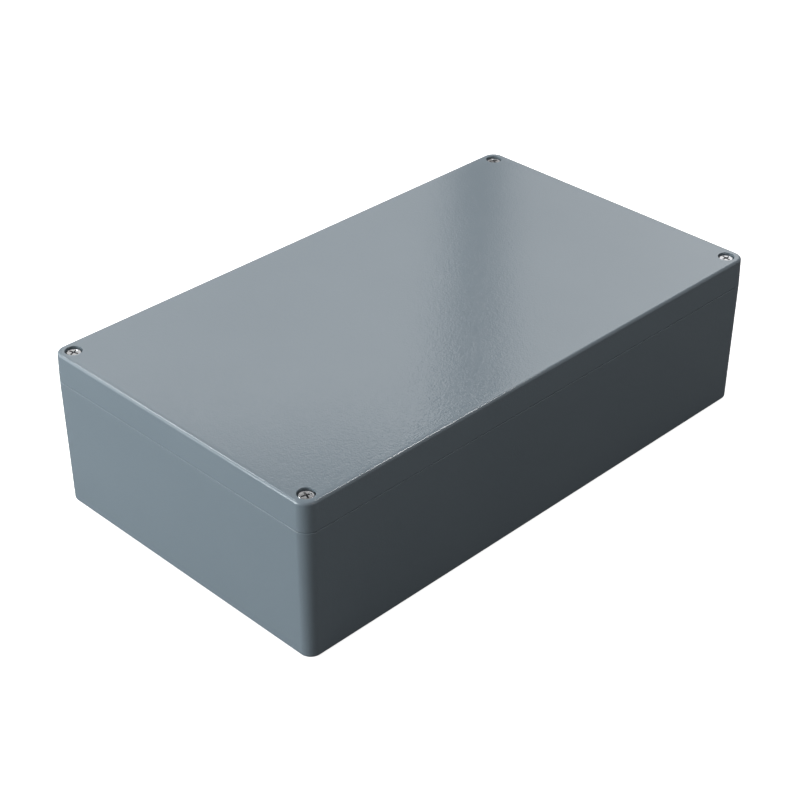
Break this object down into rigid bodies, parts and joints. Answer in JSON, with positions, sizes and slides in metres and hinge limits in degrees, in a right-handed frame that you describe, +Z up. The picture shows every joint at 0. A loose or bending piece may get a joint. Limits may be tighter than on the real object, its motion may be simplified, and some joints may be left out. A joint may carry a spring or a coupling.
{
  "type": "die-cast aluminium enclosure",
  "caption": "Flat rectangular die-cast aluminium enclosure in grey powder coat: deep base, sealed lid and captive corner screws, with inner bosses and earth terminals.",
  "frame": {"origin": "middle of the underside of the base", "axes": "+X along the long side, +Y along the short side, +Z up through the lid"},
  "size_m": [0.4, 0.23, 0.11],
  "materials": {
    "coated_casting": "satin",
    "seal_rubber": "matte",
    "stainless_steel": "satin",
    "spring_steel": "satin",
    "zinc_plate": "satin"
  },
  "bodies": {
    "base": {"base": "coated_casting"},
    "lid": {"lid": "coated_casting", "lid_gasket": "seal_rubber"},
    "clip_1": {"screw_clip_1": "spring_steel"},
    "screw_1": {"lid_screw_1": "stainless_steel"},
    "clip_2": {"screw_clip_2": "spring_steel"},
    "screw_2": {"lid_screw_2": "stainless_steel"},
    "clip_3": {"screw_clip_3": "spring_steel"},
    "screw_3": {"lid_screw_3": "stainless_steel"},
    "clip_4": {"screw_clip_4": "spring_steel"},
    "screw_4": {"lid_screw_4": "stainless_steel"},
    "base_clamp": {"base_earth_clamp": "zinc_plate", "base_earth_washer": "spring_steel"},
    "base_clamp_screw": {"base_earth_screw": "zinc_plate"},
    "lid_clamp": {"lid_earth_clamp": "zinc_plate", "lid_earth_washer": "spring_steel"},
    "lid_clamp_screw": {"lid_earth_screw": "zinc_plate"}
  },
  "joints": [
    {"name": "lid_lift", "type": "slide", "parent": "base", "child": "lid", "axis": [0, 0, 1], "range_m": [0, 0.15]},
    {"name": "screw_1_rise", "type": "slide", "parent": "lid", "child": "clip_1", "axis": [0, 0, 1], "range_m": [0, 0.009]},
    {"name": "screw_1_turn", "type": "hinge", "parent": "clip_1", "child": "screw_1", "pos_m": [-0.19, -0.105, 0.1049], "axis": [0, 0, 1], "range_deg": [0, 3240]},
    {"name": "screw_2_rise", "type": "slide", "parent": "lid", "child": "clip_2", "axis": [0, 0, 1], "range_m": [0, 0.009]},
    {"name": "screw_2_turn", "type": "hinge", "parent": "clip_2", "child": "screw_2", "pos_m": [0.19, -0.105, 0.1049], "axis": [0, 0, 1], "range_deg": [0, 3240]},
    {"name": "screw_3_rise", "type": "slide", "parent": "lid", "child": "clip_3", "axis": [0, 0, 1], "range_m": [0, 0.009]},
    {"name": "screw_3_turn", "type": "hinge", "parent": "clip_3", "child": "screw_3", "pos_m": [0.19, 0.105, 0.1049], "axis": [0, 0, 1], "range_deg": [0, 3240]},
    {"name": "screw_4_rise", "type": "slide", "parent": "lid", "child": "clip_4", "axis": [0, 0, 1], "range_m": [0, 0.009]},
    {"name": "screw_4_turn", "type": "hinge", "parent": "clip_4", "child": "screw_4", "pos_m": [-0.19, 0.105, 0.1049], "axis": [0, 0, 1], "range_deg": [0, 3240]},
    {"name": "base_clamp_open", "type": "slide", "parent": "base", "child": "base_clamp", "axis": [0, 0, 1], "range_m": [0, 0.003]},
    {"name": "base_clamp_turn", "type": "hinge", "parent": "base_clamp", "child": "base_clamp_screw", "pos_m": [-0.13, -0.088, 0.012], "axis": [0, 0, 1], "range_deg": [0, 1350]},
    {"name": "lid_clamp_open", "type": "slide", "parent": "lid", "child": "lid_clamp", "axis": [0, 0, -1], "range_m": [0, 0.003]},
    {"name": "lid_clamp_turn", "type": "hinge", "parent": "lid_clamp", "child": "lid_clamp_screw", "pos_m": [-0.13, 0.088, 0.0985], "axis": [0, 0, -1], "range_deg": [0, 1350]}
  ],
  "couplings": [
    {"joint": "screw_1_turn", "follows": "screw_1_rise", "rad_per_m": 6283.2},
    {"joint": "screw_2_turn", "follows": "screw_2_rise", "rad_per_m": 6283.2},
    {"joint": "screw_3_turn", "follows": "screw_3_rise", "rad_per_m": 6283.2},
    {"joint": "screw_4_turn", "follows": "screw_4_rise", "rad_per_m": 6283.2},
    {"joint": "base_clamp_turn", "follows": "base_clamp_open", "rad_per_m": 7853.9},
    {"joint": "lid_clamp_turn", "follows": "lid_clamp_open", "rad_per_m": 7853.9}
  ]
}
